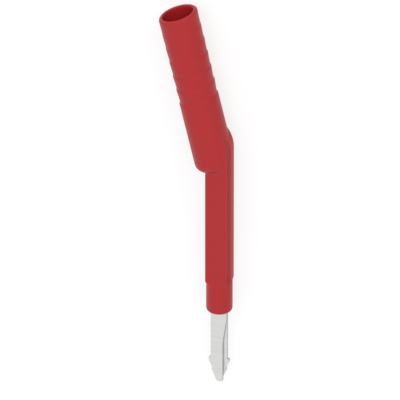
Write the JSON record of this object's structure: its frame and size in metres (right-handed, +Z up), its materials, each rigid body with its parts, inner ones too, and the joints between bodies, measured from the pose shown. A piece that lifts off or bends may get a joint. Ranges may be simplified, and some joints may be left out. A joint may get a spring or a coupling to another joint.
{
  "type": "test adapter",
  "caption": "Bent test adapter: a shrouded plug socket in a round handle with grip rings, a slim square stem with a slanted notch in its side, and a flat split contact blade with barbs.",
  "frame": {"origin": "centre of the bottom of the box round the part as it lies on its side", "axes": "+X along the handle's axis towards its open mouth, +Y across the bend towards the blade's side, +Z up, from the bench to the front face"},
  "size_m": [0.0826, 0.0164, 0.0081],
  "materials": {
    "red_plastic": "satin moulded plastic",
    "socket_metal": "turned and nickel-plated",
    "contact_metal": "stamped and tin-plated"
  },
  "bodies": {
    "root": {"housing": "red_plastic", "plug_socket": "socket_metal", "contact_strip": "contact_metal", "rear_leaf": "contact_metal"}
  },
  "joints": []
}
